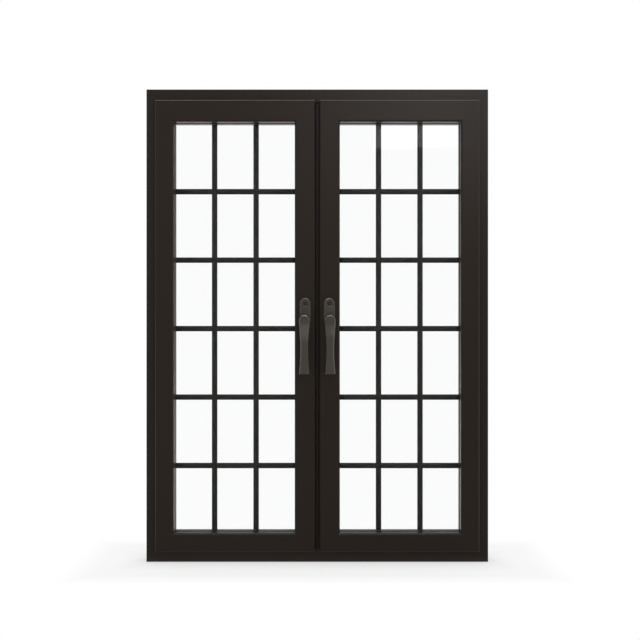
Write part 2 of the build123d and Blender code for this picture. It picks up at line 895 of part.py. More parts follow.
def bolt_bar(end, start):
    """Add the flat bar in the edge groove and the thick bolt at its far end."""
    across = (gear_y - rod_width / 2, gear_y + rod_width / 2)
    reach = bolt_length if end > start else -bolt_length
    slab((rod_back, rod_face), across, (start, end))
    slab((bolt_back, rod_face), across, (end - reach, end))


# The lower rod's rack is on the side of the leaf's edge, and goes down as the lever lifts
with BuildPart() as lower_rod:
    toothed = rack_points(1, -rack_spare_teeth, travel_teeth + rack_spare_teeth - 1)
    rack_back = handle_x + pitch_radius + dedendum + rack_thickness
    with BuildSketch(front_plane(gear_y + gear_thickness / 2)) as rack:
        with BuildLine():
            Polyline(
                *toothed,
                (toothed[-1][0], lever_height + rack_long),
                (rack_back, lever_height + rack_long),
                (rack_back, lever_height - rack_short),
                (rod_back, lever_height - rack_short),
                (rod_back, lever_height - rack_short - rack_arm),
                (toothed[0][0], lever_height - rack_short - rack_arm),
                close=True,
            )
        make_face()
    extrude(rack.sketch, amount=gear_thickness)
    bolt_bar(leaf_body.bottom + bolt_end_gap, lever_height - rack_short)

# The upper rod's rack is on the far side of the pinion, with an arm over the top of it
with BuildPart() as upper_rod:
    toothed = rack_points(-1, -travel_teeth - rack_spare_teeth, rack_spare_teeth - 1)
    with BuildSketch(front_plane(gear_y + gear_thickness / 2)) as rack:
        with BuildLine():
            Polyline(
                *toothed,
                (toothed[-1][0], arm_low),
                (rod_back, arm_low),
                (rod_back, arm_low + rack_arm),
                (gear_floor, arm_low + rack_arm),
                (gear_floor, lever_height - rack_long),
                (toothed[0][0], lever_height - rack_long),
                close=True,
            )
        make_face()
    extrude(rack.sketch, amount=gear_thickness)
    bolt_bar(leaf_body.top - bolt_end_gap, arm_low)

write_both("lower_rod", lower_rod.part)
write_both("upper_rod", upper_rod.part)

with BuildPart() as gearbox:
    case_y = rod_width / 2 + case_running_gap
    slab(
        (case_back, faceplate_back),
        (gear_y - case_y - case_wall, gear_y + case_y + case_wall),
        (case_bottom - case_wall, case_top + case_wall),
    )
    slab(
        (case_back + case_wall, faceplate_back),
        (gear_y - case_y, gear_y + case_y),
        (case_bottom, case_top),
        Mode.SUBTRACT,
    )
    slab(
        (groove_bottom, faceplate_back),
        (gear_y - case_y, gear_y + case_y),
        (case_bottom - case_wall, case_top + case_wall),
        Mode.SUBTRACT,
    )
    with Locations((handle_x, gear_y, lever_height)):
        Cylinder(
            journal_radius + running_clearance, groove_width, rotation=(90, 0, 0), mode=Mode.SUBTRACT
        )

write_both("gearbox", gearbox.part)

with BuildPart() as faceplate:
    slab(
        (faceplate_back, meeting_face),
        (gear_y - faceplate_width / 2, gear_y + faceplate_width / 2),
        (leaf_body.bottom, leaf_body.top),
    )

write_both("faceplate", faceplate.part)

# Astragal: fixed to the right leaf's edge, with its nose in the middle of the gap
front_run = (leaf_body.bottom + astragal_end_gap, leaf_body.top - astragal_end_gap)
rear_run = (leaf_rear.bottom + astragal_end_gap, leaf_rear.top - astragal_end_gap)
nose_front = leaf_front + astragal_nose_front
nose_back = nose_front + astragal_nose_depth
web_front = nose_back - astragal_wall
nose_half = astragal_nose_width / 2
base_face = -meeting_face
base_inner = base_face - astragal_wall
rear_front = leaf_back - astragal_rear_depth
rear_wall = astragal_wall / 2
seal_y = nose_front + astragal_seal_inset
with BuildPart() as astragal:
    slab((base_inner, base_face), (web_front, leaf_step), front_run)
    slab((base_inner, base_face), (leaf_step, leaf_back), rear_run)
    slab((-nose_half, base_face), (web_front, nose_back), front_run)
    slab((-nose_half, nose_half), (nose_front, nose_back), front_run)
    slab((-astragal_rear_reach, base_face), (rear_front, leaf_back), rear_run)
    slab(
        (rear_wall - astragal_rear_reach, base_inner),
        (rear_front + rear_wall, leaf_back - rear_wall),
        rear_run,
        Mode.SUBTRACT,
    )
    slab(
        (-nose_half, astragal_seal_foot - nose_half),
        (seal_y - astragal_seal_tongue / 2, seal_y + astragal_seal_tongue / 2),
        front_run,
        Mode.SUBTRACT,
    )

# The seal's bulb fills most of the gap to the left leaf, and its tongue is held in the nose
with BuildPart() as astragal_seal:
    seal_tip = leaf_edge.right + astragal_seal_gap
    seal_round = -(nose_half + seal_tip) / 2
    tongue_end = astragal_seal_foot - nose_half
    with BuildSketch(Plane.XY.offset(front_run[0])) as bulb:
        with Locations((seal_tip + seal_round, seal_y)):
            Circle(seal_round)
            Rectangle(
                tongue_end - seal_tip - seal_round,
                astragal_seal_tongue,
                align=(Align.MIN, Align.CENTER),
            )
    extrude(bulb.sketch, amount=front_run[1] - front_run[0])

write("astragal", astragal.part)
write("astragal_seal", astragal_seal.part)
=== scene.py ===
import json
import math

import bmesh
import bpy
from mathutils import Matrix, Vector

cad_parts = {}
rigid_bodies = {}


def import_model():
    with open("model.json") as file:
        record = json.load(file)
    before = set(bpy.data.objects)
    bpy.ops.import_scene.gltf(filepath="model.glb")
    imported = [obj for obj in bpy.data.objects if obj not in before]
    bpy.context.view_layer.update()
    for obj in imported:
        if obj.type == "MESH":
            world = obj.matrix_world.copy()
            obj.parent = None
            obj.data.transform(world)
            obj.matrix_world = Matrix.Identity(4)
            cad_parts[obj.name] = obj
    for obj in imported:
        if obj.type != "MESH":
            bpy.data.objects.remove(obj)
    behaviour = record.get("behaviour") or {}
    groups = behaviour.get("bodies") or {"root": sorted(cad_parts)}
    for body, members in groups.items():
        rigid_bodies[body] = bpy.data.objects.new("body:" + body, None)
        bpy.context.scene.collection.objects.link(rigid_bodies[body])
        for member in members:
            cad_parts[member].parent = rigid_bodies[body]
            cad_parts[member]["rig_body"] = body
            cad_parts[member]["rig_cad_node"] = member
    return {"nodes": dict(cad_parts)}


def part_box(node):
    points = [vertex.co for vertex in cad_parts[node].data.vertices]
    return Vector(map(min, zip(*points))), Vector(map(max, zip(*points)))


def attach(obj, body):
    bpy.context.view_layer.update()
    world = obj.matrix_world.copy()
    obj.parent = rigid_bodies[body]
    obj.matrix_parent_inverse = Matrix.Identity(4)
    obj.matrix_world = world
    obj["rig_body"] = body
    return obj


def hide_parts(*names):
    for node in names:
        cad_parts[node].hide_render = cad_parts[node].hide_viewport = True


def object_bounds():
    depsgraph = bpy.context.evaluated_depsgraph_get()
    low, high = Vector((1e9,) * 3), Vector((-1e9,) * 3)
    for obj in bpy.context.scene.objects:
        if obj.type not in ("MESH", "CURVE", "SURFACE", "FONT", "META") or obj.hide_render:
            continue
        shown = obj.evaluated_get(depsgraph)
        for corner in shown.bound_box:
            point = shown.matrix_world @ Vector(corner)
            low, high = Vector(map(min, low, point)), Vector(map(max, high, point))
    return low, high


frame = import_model()
nodes = frame["nodes"]
cad_box = [list(corner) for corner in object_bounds()]
bpy.ops.object.select_all(action="DESELECT")


# Outer frame: head, sill and jambs of extruded aluminium, mitred and crimped at the corners.
# The bars are powder coated in a satin dark bronze before they are cut, so the faint
# orange peel and the drift of the colour run on through every member.
class Value:
    """A number or colour that varies over a surface; sums on it add Math nodes."""

    def __init__(self, finish, socket):
        self.finish, self.socket = finish, socket

    def work_out(self, operation, *terms):
        return self.finish.node("ShaderNodeMath", {"operation": operation}, list(terms))

    def __add__(self, other):
        return self.work_out("ADD", self, other)

    def __sub__(self, other):
        return self.work_out("SUBTRACT", self, other)

    def __rsub__(self, other):
        return self.work_out("SUBTRACT", other, self)

    def __mul__(self, other):
        return self.work_out("MULTIPLY", self, other)

    def __pow__(self, other):
        return self.work_out("POWER", self, other)

    def larger(self, other):
        return self.work_out("MAXIMUM", self, other)

    def smaller(self, other):
        return self.work_out("MINIMUM", self, other)

    def size(self):
        return self.work_out("ABSOLUTE", self)

    def between(self, low, high):
        return low + self * (high - low)

    __radd__ = __add__
    __rmul__ = __mul__


class Finish:
    """The nodes of a material, or of the sky, added one at a time."""

    def __init__(self, owner, **plain):
        owner.use_nodes = True
        self.owner, self.tree = owner, owner.node_tree
        self.shader = self.tree.nodes.get("Principled BSDF")
        for name, value in plain.items():
            self.shader.inputs[name.replace("_", " ")].default_value = value

    def node(self, kind, settings, inputs, output=0):
        """Add a node: its settings first, then what feeds its sockets, by name or number."""
        node = self.tree.nodes.new(kind)
        for name, value in settings.items():
            setattr(node, name, value)
        places = inputs.items() if isinstance(inputs, dict) else enumerate(inputs)
        for place, value in places:
            self.feed(node.inputs[place], value)
        return Value(self, node.outputs[output])

    def feed(self, socket, value):
        if isinstance(value, Value):
            self.tree.links.new(value.socket, socket)
        else:
            socket.default_value = value

    def surface(self, **fed):
        for name, value in fed.items():
            self.feed(self.shader.inputs[name.replace("_", " ")], value)

    def place(self):
        return self.node("ShaderNodeTexCoord", {}, [], "Object")

    def stretched(self, scale):
        return self.node("ShaderNodeMapping", {}, {"Vector": self.place(), "Scale": scale})

    def noise(self, place, scale, detail=2.0, roughness=0.5):
        inputs = {"Vector": place, "Scale": scale, "Detail": detail, "Roughness": roughness}
        return self.node("ShaderNodeTexNoise", {}, inputs)

    def blend(self, share, first, second):
        """Mix two colours; the Mix node repeats its names, so its sockets go by number."""
        settings = {"data_type": "RGBA"}
        return self.node("ShaderNodeMix", settings, {0: share, 6: first, 7: second}, 2)

    def bumps(self, height, strength, distance):
        inputs = {"Height": height, "Strength": strength, "Distance": distance}
        return self.node("ShaderNodeBump", {}, inputs)


def powder_coat(name, dark, light, roughness, peel, **plain):
    """A baked powder coat: two close shades, faint orange peel and specks of powder."""
    roughness_spread, peel_depth = 0.08, 0.0006
    coat = Finish(bpy.data.materials.new(name), **plain)
    place = coat.place()
    drift = coat.noise(place, scale=2.3, detail=3.0)
    specks = coat.noise(place, scale=900, detail=1.0)
    grain = coat.noise(place, scale=260, detail=3.0, roughness=0.6)
    coat.surface(
        Base_Color=coat.blend(drift * 0.7 + specks * 0.3, dark, light),
        Roughness=grain.between(roughness - roughness_spread, roughness + roughness_spread),
        Normal=coat.bumps(grain * 0.6 + specks * 0.4, peel, peel_depth),
    )
    return coat.owner


def both_sides(*names):
    """The full names of nodes; a name with no side stands for the piece on each leaf."""
    full_names = [side + name for name in names for side in ("", "left_", "right_")]
    return [name for name in full_names if name in nodes]


def finish_nodes(material, *names):
    """Give nodes one finish, on both leaves where a name has no side."""
    for name in both_sides(*names):
        nodes[name].data.materials.clear()
        nodes[name].data.materials.append(material)


def activate(piece):
    bpy.ops.object.select_all(action="DESELECT")
    piece.select_set(True)
    bpy.context.view_layer.objects.active = piece


def ease_edges(piece, radius, segments=2, angle=30, drawn=None):
    """Round every sharp edge of a piece a little, and keep its flat faces flat in the light.

    Where mitred edges meet, the rounding can throw a point out; it goes back to the drawn piece.
    """
    activate(piece)
    rounding = piece.modifiers.new("eased_edges", "BEVEL")
    rounding.width, rounding.segments = radius, segments
    rounding.limit_method, rounding.angle_limit = "ANGLE", math.radians(angle)
    rounding.use_clamp_overlap = False
    bpy.ops.object.modifier_apply(modifier=rounding.name)
    if drawn:
        for point in piece.data.vertices:
            nearest = drawn.closest_point_on_mesh(point.co)[1]
            if (point.co - nearest).length > radius:
                point.co = nearest
    smooth_angle = angle + 20
    bpy.ops.object.shade_smooth_by_angle(angle=math.radians(smooth_angle))
    flats = piece.modifiers.new("flat_faces", "WEIGHTED_NORMAL")
    flats.mode, flats.weight, flats.keep_sharp = "FACE_AREA", 100, True
    bpy.ops.object.modifier_apply(modifier=flats.name)


def settle(piece, body, slot, material, *replaced):
    """Finish a piece and let it move with its body, in place of the nodes it stands for."""
    piece.data.materials.clear()
    piece.data.materials.append(material)
    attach(piece, body)
    if replaced:
        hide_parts(*replaced)


def drawn_from(name, ending):
    """Copy a drawn piece from its node, with whole faces, and start to edit it."""
    activate(nodes[name])
    bpy.ops.object.duplicate()
    piece = bpy.context.object
    piece.name = piece.data.name = name + ending
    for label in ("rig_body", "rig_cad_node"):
        del piece[label]
    bpy.ops.object.mode_set(mode="EDIT")
    bpy.ops.mesh.select_all(action="SELECT")
    bpy.ops.mesh.remove_doubles(threshold=0.00001)
    bpy.ops.mesh.dissolve_limited(angle_limit=math.radians(2))
    return piece


def coat_bars(material, slot, radius, *names):
    """Copy drawn bars with their edges eased, as the die and the coat leave them."""
    for name in both_sides(*names):
        bar = drawn_from(name, "_bar")
        bpy.ops.object.mode_set(mode="OBJECT")
        ease_edges(bar, radius, drawn=nodes[name])
        settle(bar, nodes[name]["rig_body"], slot, material, name)


bronze = powder_coat(
    "bronze_powder_coat",
    dark=(0.0176, 0.0103, 0.0061, 1),
    light=(0.0238, 0.0149, 0.0093, 1),
    roughness=0.36,
    peel=0.08,
)
bar_edge = 0.0004
coat_bars(bronze, "bronze_frame", bar_edge, "head", "sill", "left_jamb", "right_jamb")


# Leaves: four hollow aluminium bars each, mitred and coated like the frame. The beads clipped
# on outside, the faceplates of the lock gear and the flat bar in the gap between the leaves
# are thinner, with sharper edges.
leaf_bars = ("top_rail", "bottom_rail", "hinge_stile", "meeting_stile")
coat_bars(bronze, "bronze_frame", bar_edge, *leaf_bars)
thin_edge = 0.0003
coat_bars(bronze, "bronze_frame", thin_edge, "glazing_beads", "faceplate", "astragal")


# Bars in the glass: rolled aluminium, sloped at both sides and lacquered a little greener
# and more matt than the leaves. They hang in the sealed cavity between the two panes.
bar_coat = powder_coat(
    "bar_lacquer",
    dark=(0.0135, 0.0125, 0.0098, 1),
    light=(0.0195, 0.0182, 0.0148, 1),
    roughness=0.5,
    peel=0.1,
)
finish_nodes(bar_coat, "glazing_bars")


# Glass: two sheets of clear float glass to each leaf, with a faint bloom from handling. A low
# index keeps the room's reflection faint, and lamps shine straight through, as they do
# through a thin flat pane.
bloom_haze = 0.06
pane = Finish(
    bpy.data.materials.new("float_glass"),
    Base_Color=(0.996, 1.0, 0.998, 1),
    Transmission_Weight=1.0,
    IOR=1.22,
)
bloom = pane.noise(pane.place(), scale=3.5, detail=4.0)
pane.surface(Roughness=(bloom ** 3) * bloom_haze)
from_lamp = pane.node("ShaderNodeLightPath", {}, [], "Is Shadow Ray")
clear = pane.node("ShaderNodeBsdfTransparent", {}, [])
glass = Value(pane, pane.shader.outputs[0])
seen = pane.node("ShaderNodeMixShader", {}, [from_lamp, glass, clear])
pane.feed(pane.tree.nodes["Material Output"].inputs["Surface"], seen)
finish_nodes(pane.owner, "inner_pane", "outer_pane")


# Edge of the glass unit: a bent tube of dulled aluminium between the panes, and the plastic
# blocks that wedge the unit in the leaf.
spacer = Finish(bpy.data.materials.new("spacer_tube"), Metallic=0.85)
brushed = spacer.noise(spacer.stretched((1, 40, 1)), scale=30)
spacer.surface(
    Base_Color=spacer.blend(brushed, (0.3, 0.298, 0.285, 1), (0.42, 0.417, 0.4, 1)),
    Roughness=brushed.between(0.4, 0.6),
)
finish_nodes(spacer.owner, "spacer_frame")

block = Finish(bpy.data.materials.new("moulded_plastic"))
mould = block.noise(block.place(), scale=400)
block.surface(
    Base_Color=block.blend(mould, (0.09, 0.1, 0.11, 1), (0.12, 0.13, 0.14, 1)),
    Roughness=mould.between(0.5, 0.65),
)
finish_nodes(block.owner, "setting_blocks")


# Gaskets and seals: extruded black rubber, slightly dusty, pushed into grooves by hand. The
# seal between the leaves is soft, so its lip reaches on to the left leaf and stops the light.
def pick(kind, wanted):
    """Select the points, edges or faces of the mesh being edited that pass a test."""
    bpy.ops.mesh.select_mode(type=kind)
    bpy.ops.mesh.select_all(action="DESELECT")
    shape = bmesh.from_edit_mesh(bpy.context.edit_object.data)
    shape.normal_update()
    for part in {"VERT": shape.verts, "EDGE": shape.edges, "FACE": shape.faces}[kind]:
        part.select_set(wanted(part))
    bmesh.update_edit_mesh(bpy.context.edit_object.data)


rubber = Finish(bpy.data.materials.new("black_rubber"), Specular_IOR_Level=0.35)
place = rubber.place()
dust = rubber.noise(place, scale=35, detail=4.0, roughness=0.6)
skin = rubber.noise(place, scale=1400, detail=1.0)
rubber.surface(
    Base_Color=rubber.blend(dust, (0.005, 0.005, 0.005, 1), (0.014, 0.0135, 0.013, 1)),
    Roughness=dust.between(0.62, 0.82),
    Normal=rubber.bumps(skin, strength=0.2, distance=0.0003),
)
finish_nodes(rubber.owner, "inner_gasket", "outer_gasket", "leaf_seal", "frame_seal")

tolerance = 0.0001
lip_clearance = 0.00004
lip_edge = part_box("astragal_seal")[0].x
left_leaf_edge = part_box("left_meeting_stile")[1].x
middle_seal = drawn_from("astragal_seal", "_lip")
pick("VERT", lambda point: point.co.x < lip_edge + tolerance)
bpy.ops.transform.translate(value=(left_leaf_edge + lip_clearance - lip_edge, 0, 0))
bpy.ops.object.mode_set(mode="OBJECT")
settle(middle_seal, "right_leaf", "rubber", rubber.owner, "astragal_seal")


# Metal inside the joints: zinc-plated steel for the keeps, pivots, rods, gear and gearbox,
# and mill-finish aluminium for the cleats that are crimped in the corners.
zinc = Finish(bpy.data.materials.new("zinc_plate"), Metallic=1.0)
place = zinc.place()
spangle = zinc.node("ShaderNodeTexVoronoi", {}, {"Vector": place, "Scale": 160}, "Color")
spangle_share = zinc.node("ShaderNodeSeparateColor", {}, [spangle])
scuff = zinc.noise(place, scale=300, detail=3.0)
zinc.surface(
    Base_Color=zinc.blend(spangle_share, (0.42, 0.42, 0.41, 1), (0.56, 0.56, 0.54, 1)),
    Roughness=scuff.between(0.3, 0.55),
)
keeps_and_pivots = ("head_keep", "sill_keep", "bottom_pivots", "top_pivots")
lock_gear = ("spindle", "pinion", "lower_rod", "upper_rod", "gearbox")
finish_nodes(zinc.owner, *keeps_and_pivots, *lock_gear)

mill = Finish(bpy.data.materials.new("mill_aluminium"), Metallic=1.0)
streaks = mill.noise(mill.stretched((1, 1, 25)), scale=60)
mill.surface(
    Base_Color=mill.blend(streaks, (0.55, 0.55, 0.55, 1), (0.68, 0.68, 0.68, 1)),
    Roughness=streaks.between(0.35, 0.55),
)
finish_nodes(mill.owner, "frame_corner_cleats", "corner_cleats")


# Lever handles: cast zinc, a round hub over the spindle drawn out into a blade that hangs
# clear of the leaf, slim at its waist and wide again at its cut end. The broad sloped edges
# are ground smooth, and a lighter bronze than the frame's is sealed with clear lacquer.
def primitive(add, name, **settings):
    """Add a primitive with its place in its mesh, and start to edit it."""
    bpy.ops.object.select_all(action="DESELECT")
    add(**settings)
    piece = bpy.context.object
    piece.name = piece.data.name = name
    bpy.ops.object.transform_apply(location=True, rotation=True, scale=True)
    bpy.ops.object.mode_set(mode="EDIT")
    return piece


def mirrored_twin(piece, name):
    """Copy a finished piece to the other leaf, as its mirror image."""
    activate(piece)
    bpy.ops.object.duplicate()
    twin = bpy.context.object
    twin.name = twin.data.name = name
    twin.scale.x = -1
    bpy.ops.object.transform_apply(location=False, rotation=False, scale=True)
    bpy.ops.object.mode_set(mode="EDIT")
    bpy.ops.mesh.select_all(action="SELECT")
    bpy.ops.mesh.normals_make_consistent(inside=False)
    bpy.ops.object.mode_set(mode="OBJECT")
    return twin


def eased(share):
    """A share from 0 to 1 that starts and ends gently."""
    share = min(max(share, 0), 1)
    return share * share * (3 - 2 * share)


handle_coat = powder_coat(
    "handle_bronze",
    dark=(0.041, 0.0352, 0.0253, 1),
    light=(0.0515, 0.0448, 0.033, 1),
    roughness=0.24,
    peel=0.04,
    Specular_IOR_Level=1.0,
    Coat_Weight=1.0,
    Coat_Roughness=0.15,
)
lever_low, lever_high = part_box("left_lever")
hub_x, hub_radius = (lever_low.x + lever_high.x) / 2, (lever_high.x - lever_low.x) / 2
hub_z = lever_high.z - hub_radius
hub_thickness, blade_thickness = 0.022, 0.012
hub_front = lever_high.y - hub_thickness
waist_width, tip_width = 0.0335, 0.045
waist_drop, crank_drop, blade_length = 0.116, 0.1, hub_z - lever_low.z
hub_segments, blade_steps = 64, 24
lever_slope, lever_edge = 0.0046, 0.0009
straight_on = 0.9


def blade_section(drop):
    """Width, front and back of the lever, a given way below the middle of its hub."""
    if drop < waist_drop:
        spread = (2 * hub_radius - waist_width) * (1 + math.cos(math.pi * drop / waist_drop)) / 2
    else:
        flare = (drop - waist_drop) / (blade_length - waist_drop)
        spread = (tip_width - waist_width) * (1 - math.cos(math.pi * flare / 2))
    cranked = eased(drop / crank_drop)
    front = hub_front + (lever_low.y - hub_front) * cranked
    thickness = hub_thickness + (blade_thickness - hub_thickness) * cranked
    return waist_width + spread, front, front + thickness


def on_front_rim(edge):
    """Whether an edge parts a face that looks forward from one that looks aside."""
    aside, ahead = 0.5, 0.7
    forward = sorted(-face.normal.y for face in edge.link_faces)
    return len(forward) == 2 and forward[0] < aside and forward[1] > ahead


left_lever = primitive(
    bpy.ops.mesh.primitive_circle_add,
    "left_lever_casting",
    vertices=hub_segments,
    radius=hub_radius,
    location=(hub_x, hub_front, hub_z),
    rotation=(math.pi / 2, 0, 0),
)
pick("VERT", lambda point: point.co.z < hub_z - tolerance)
bpy.ops.mesh.delete(type="VERT")
bpy.ops.mesh.select_all(action="SELECT")
bpy.ops.mesh.edge_face_add()
bpy.ops.mesh.extrude_region_move(TRANSFORM_OT_translate={"value": (0, hub_thickness, 0)})
bpy.ops.mesh.select_all(action="SELECT")
bpy.ops.mesh.normals_make_consistent(inside=False)
pick("FACE", lambda face: face.normal.z < -straight_on)
last_width, last_front, last_back = blade_section(0)
for step in range(1, blade_steps + 1):
    drop = blade_length * step / blade_steps
    width, front, back = blade_section(drop)
    shift, fall = (front + back - last_front - last_back) / 2, -blade_length / blade_steps
    bpy.ops.mesh.extrude_region_move(TRANSFORM_OT_translate={"value": (0, shift, fall)})
    bpy.ops.transform.resize(
        value=(width / last_width, (back - front) / (last_back - last_front), 1),
        center_override=(hub_x, (front + back) / 2, hub_z - drop),
    )
    last_width, last_front, last_back = width, front, back
pick("EDGE", on_front_rim)
bpy.ops.mesh.bevel(offset=lever_slope, segments=1, affect="EDGES")
bpy.ops.object.mode_set(mode="OBJECT")
ease_edges(left_lever, lever_edge, segments=3)
right_lever = mirrored_twin(left_lever, "right_lever_casting")
settle(left_lever, "left_handle", "bronze_handle", handle_coat, "left_lever")
settle(right_lever, "right_handle", "bronze_handle", handle_coat, "right_lever")


# Backplates: cast like the levers, a round-ended block with a sloped rim, sunk round the
# lock in its upper end and drilled for the lever's journal and for one screw.
plate_low, plate_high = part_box("left_backplate")
plate_x, plate_radius = (plate_low.x + plate_high.x) / 2, (plate_high.x - plate_low.x) / 2
plate_thickness = plate_high.y - plate_low.y
plate_rise = plate_high.z - plate_low.z - 2 * plate_radius
plate_segments = 96
plate_slope, plate_edge = 0.003, 0.0005
left_plate = primitive(
    bpy.ops.mesh.primitive_circle_add,
    "left_backplate_casting",
    vertices=plate_segments,
    radius=plate_radius / math.cos(math.pi / plate_segments),
    fill_type="NGON",
    location=(plate_x, plate_low.y, plate_low.z + plate_radius),
    rotation=(math.pi / 2, math.pi / plate_segments, 0),
)
pick("VERT", lambda point: point.co.z > plate_low.z + plate_radius)
bpy.ops.transform.translate(value=(0, 0, plate_rise))
pick("FACE", lambda face: True)
bpy.ops.mesh.extrude_region_move(TRANSFORM_OT_translate={"value": (0, plate_thickness, 0)})
bpy.ops.mesh.select_all(action="SELECT")
bpy.ops.mesh.normals_make_consistent(inside=False)
pick("FACE", lambda face: face.normal.y < -straight_on)
bpy.ops.mesh.bevel(offset=plate_slope, segments=1, affect="EDGES")
bpy.ops.object.mode_set(mode="OBJECT")


def drill(x, z, mouth_radius, end_radius, depth):
    """Cut a round hole in the left backplate, as wide as given at its mouth and its end."""
    run_up = 0.001
    widening = (mouth_radius - end_radius) / depth * run_up
    bit = primitive(
        bpy.ops.mesh.primitive_cone_add,
        "drill_bit",
        vertices=64,
        radius1=mouth_radius + widening,
        radius2=end_radius,
        depth=depth + run_up,
        location=(x, plate_low.y + (depth - run_up) / 2, z),
        rotation=(-math.pi / 2, 0, 0),
    )
    bpy.ops.object.mode_set(mode="OBJECT")
    activate(left_plate)
    hole = left_plate.modifiers.new("hole", "BOOLEAN")
    hole.operation, hole.solver, hole.object = "DIFFERENCE", "EXACT", bit
    bpy.ops.object.modifier_apply(modifier=hole.name)
    bpy.data.objects.remove(bit)


barrel_low, barrel_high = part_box("left_lock_barrel")
lock_z = (barrel_low.z + barrel_high.z) / 2
barrel_radius = (barrel_high.x - barrel_low.x) / 2
recess_radius, recess_depth = 0.012, 0.0029
journal_radius = 0.007
screw_z = hub_z + 0.05
screw_hole_radius, screw_hole_end, screw_hole_depth = 0.005, 0.0025, 0.0025
through = 0.029
drill(plate_x, lock_z, barrel_radius, barrel_radius, through)
drill(plate_x, lock_z, recess_radius, recess_radius - recess_depth, recess_depth)
drill(hub_x, hub_z, journal_radius, journal_radius, through)
drill(plate_x, screw_z, screw_hole_radius, screw_hole_end, screw_hole_depth)
ease_edges(left_plate, plate_edge, angle=25)
right_plate = mirrored_twin(left_plate, "right_backplate_casting")
settle(left_plate, "left_leaf", "bronze_handle", handle_coat, "left_backplate")
settle(right_plate, "right_leaf", "bronze_handle", handle_coat, "right_backplate")


# Locks: a barrel with a plug in it, sunk in each backplate. Both are turned from brass and
# plated dark, and keys have rubbed them a little brighter.
lock_plate = Finish(bpy.data.materials.new("lock_plating"), Metallic=1.0)
place = lock_plate.place()
turned = lock_plate.noise(place, scale=700)
rubbed = lock_plate.noise(place, scale=90, detail=3.0)
lock_plate.surface(
    Base_Color=lock_plate.blend(rubbed, (0.1, 0.088, 0.07, 1), (0.2, 0.18, 0.15, 1)),
    Roughness=turned.between(0.28, 0.48),
    Normal=lock_plate.bumps(turned, strength=0.15, distance=0.0002),
)
finish_nodes(lock_plate.owner, "lock_barrel", "lock_plug")


# Screws: countersunk steel with a six-sided socket, bare in the pivots, keeps and faceplates
# and coated in the backplates. One is turned and broached, and the rest are copies of it.
screw_radius, screw_length, screw_stand = 0.004, 0.003, 0.0004
screw_point_share, screw_rim, screw_crown, screw_edge = 0.4, 0.0004, 0.0002, 0.00012
socket_radius, socket_floor = 0.0016, -0.001
pattern_screw = primitive(
    bpy.ops.mesh.primitive_cylinder_add,
    "pattern_screw",
    vertices=32,
    radius=screw_radius,
    depth=screw_length,
    location=(0, 0, screw_stand - screw_length / 2),
)
pick("FACE", lambda face: face.normal.z < -straight_on)
bpy.ops.transform.resize(value=(screw_point_share, screw_point_share, 1), center_override=(0, 0, 0))
pick("FACE", lambda face: face.normal.z > straight_on)
bpy.ops.mesh.inset(thickness=screw_rim)
bpy.ops.transform.translate(value=(0, 0, screw_crown))
bpy.ops.object.mode_set(mode="OBJECT")
broach = primitive(
    bpy.ops.mesh.primitive_cylinder_add,
    "broach",
    vertices=6,
    radius=socket_radius,
    depth=screw_length,
    location=(0, 0, socket_floor + screw_length / 2),
)
bpy.ops.object.mode_set(mode="OBJECT")
activate(pattern_screw)
socket = pattern_screw.modifiers.new("socket", "BOOLEAN")
socket.operation, socket.solver, socket.object = "DIFFERENCE", "EXACT", broach
bpy.ops.object.modifier_apply(modifier=socket.name)
bpy.data.objects.remove(broach)
ease_edges(pattern_screw, screw_edge, angle=25)


def drive_screws(name, body, slot, material, heads, turn):
    """Copy the screw to each place, turned so that its head faces the right way."""
    copies = []
    for head in heads:
        activate(pattern_screw)
        bpy.ops.object.duplicate()
        copy = bpy.context.object
        copy.rotation_euler, copy.location = turn, head
        bpy.ops.object.transform_apply(location=True, rotation=True, scale=True)
        copies.append(copy)
    for copy in copies:
        copy.select_set(True)
    bpy.context.view_layer.objects.active = copies[0]
    if len(copies) > 1:
        bpy.ops.object.join()
    copies[0].name = copies[0].data.name = name
    settle(copies[0], body, slot, material)


upward, downward, forward = (0, 0, 0), (math.pi, 0, 0), (math.pi / 2, 0, 0)
rightward, leftward = (0, math.pi / 2, 0), (0, -math.pi / 2, 0)
pivot_arm_thickness, pivot_base_width = 0.0045, 0.02
pivot_screws_x = (-0.685, -0.655, 0.655, 0.685)
for name, turn in (("bottom_pivots", upward), ("top_pivots", downward)):
    low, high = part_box(name)
    arm_face = low.z + pivot_arm_thickness if turn == upward else high.z - pivot_arm_thickness
    heads = [(x, high.y - pivot_base_width / 2, arm_face) for x in pivot_screws_x]
    drive_screws(name + "_screws", "frame", "steel", zinc.owner, heads, turn)
keep_screws_x = (-0.042, 0.042)
for name, turn in (("sill_keep", upward), ("head_keep", downward)):
    low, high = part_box(name)
    keep_face = high.z if turn == upward else low.z
    heads = [(x, (low.y + high.y) / 2, keep_face) for x in keep_screws_x]
    drive_screws(name + "_screws", "frame", "steel", zinc.owner, heads, turn)
faceplate_screw_count, faceplate_margin = 7, 0.1
plate_screw_sink = 0.0008
for side, turn, plate_screw_x in (("left", rightward, plate_x), ("right", leftward, -plate_x)):
    low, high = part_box(side + "_faceplate")
    face_x = high.x if turn == rightward else low.x
    spacing = (high.z - low.z - 2 * faceplate_margin) / (faceplate_screw_count - 1)
    levels = [low.z + faceplate_margin + number * spacing for number in range(faceplate_screw_count)]
    heads = [(face_x, (low.y + high.y) / 2, level) for level in levels]
    drive_screws(side + "_faceplate_screws", side + "_leaf", "steel", zinc.owner, heads, turn)
    heads = [(plate_screw_x, plate_low.y + plate_screw_sink, screw_z)]
    screw_name = side + "_backplate_screw"
    drive_screws(screw_name, side + "_leaf", "bronze_handle", handle_coat, heads, forward)
bpy.data.objects.remove(pattern_screw)


